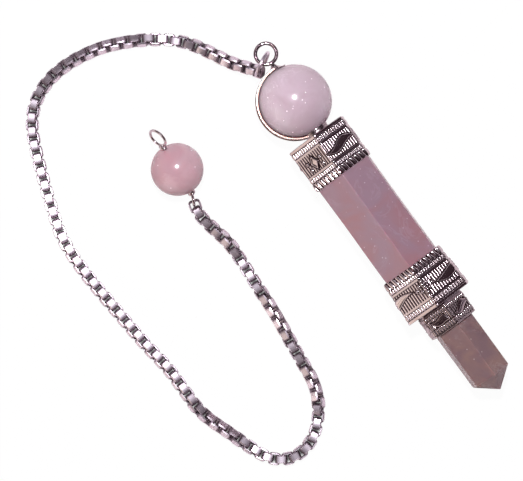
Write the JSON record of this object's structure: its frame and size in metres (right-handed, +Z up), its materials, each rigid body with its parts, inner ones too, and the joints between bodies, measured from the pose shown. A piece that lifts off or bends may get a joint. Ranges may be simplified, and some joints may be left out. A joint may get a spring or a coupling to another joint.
{
  "type": "pendulum pendant",
  "caption": "Faceted quartz pendulum in ornate hexagonal metal caps, with a ball, a box chain and a small drilled bead on a wrapped pin.",
  "frame": {"origin": "on the surface, under the middle of the box round the whole pendant as it lies", "axes": "+Z up off the surface, +X to the right and +Y to the top of the pendant seen from above"},
  "size_m": [0.0912, 0.0824, 0.0156],
  "materials": {
    "pale_quartz": "polished, milky",
    "rose_quartz": "polished, cloudy inside",
    "tip_quartz": "polished, cloudy inside",
    "bead_quartz": "polished, milky",
    "cap_metal": "cast, antiqued in the recesses",
    "ring_metal": "bright drawn wire",
    "chain_metal": "bright plated strip"
  },
  "bodies": {
    "root": {"ball": "pale_quartz", "upper_cap": "cap_metal", "jump_ring": "ring_metal", "main_crystal": "rose_quartz", "lower_cap": "cap_metal", "tip_crystal": "tip_quartz", "chain": "chain_metal", "bead": "bead_quartz", "bead_pin": "ring_metal"}
  },
  "joints": []
}
